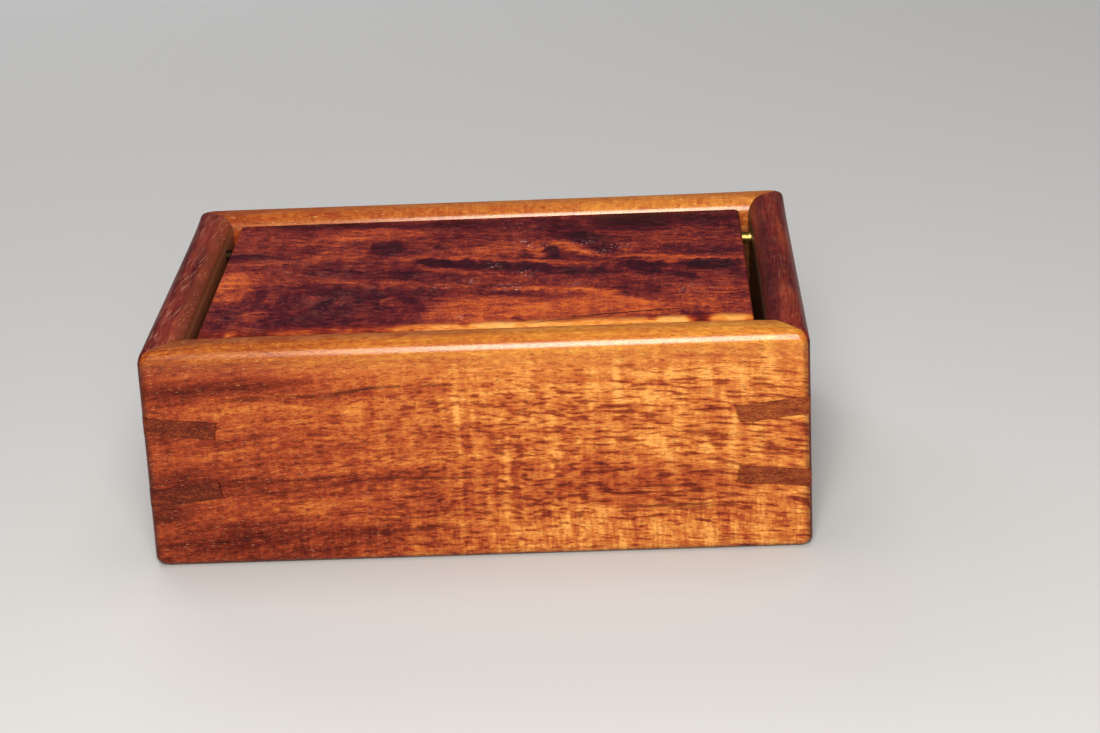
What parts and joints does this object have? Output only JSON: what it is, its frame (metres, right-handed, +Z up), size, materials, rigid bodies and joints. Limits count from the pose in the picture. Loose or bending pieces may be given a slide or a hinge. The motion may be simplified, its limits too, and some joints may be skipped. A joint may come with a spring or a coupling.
{
  "type": "keepsake box",
  "caption": "Rectangular wooden keepsake box with keyed mitre corners, a rounded rim and an inset lid that tips open on brass pins when its back edge is pressed.",
  "frame": {"origin": "middle of the underside, on the surface that the box stands on", "axes": "+Z up, +X to the right along the length, +Y to the back, where the hinge pins are"},
  "size_m": [0.1778, 0.127, 0.0635],
  "materials": {
    "long_wall_wood": "satin varnish on figured golden brown wood",
    "end_wall_wood": "satin varnish on dark reddish brown wood",
    "lid_wood": "gloss varnish on dark streaked red brown wood",
    "key_wood": "satin varnish on plain walnut brown wood",
    "inner_wood": "satin, plain brown wood",
    "brass": "polished"
  },
  "bodies": {
    "case": {"front_wall": "long_wall_wood", "back_wall": "long_wall_wood", "left_wall": "end_wall_wood", "right_wall": "end_wall_wood", "bottom_board": "inner_wood", "lid_rest_strip": "inner_wood", "left_hinge_pin": "brass", "right_hinge_pin": "brass", "key_front_left_upper": "key_wood", "key_front_left_lower": "key_wood", "key_front_right_upper": "key_wood", "key_front_right_lower": "key_wood", "key_back_right_upper": "key_wood", "key_back_right_lower": "key_wood", "key_back_left_upper": "key_wood", "key_back_left_lower": "key_wood"},
    "lid": {"lid": "lid_wood"}
  },
  "joints": [
    {"name": "lid_hinge", "type": "hinge", "parent": "case", "child": "lid", "pos_m": [0, 0.0355, 0.05645], "axis": [-1, 0, 0], "range_deg": [0, 150]}
  ]
}
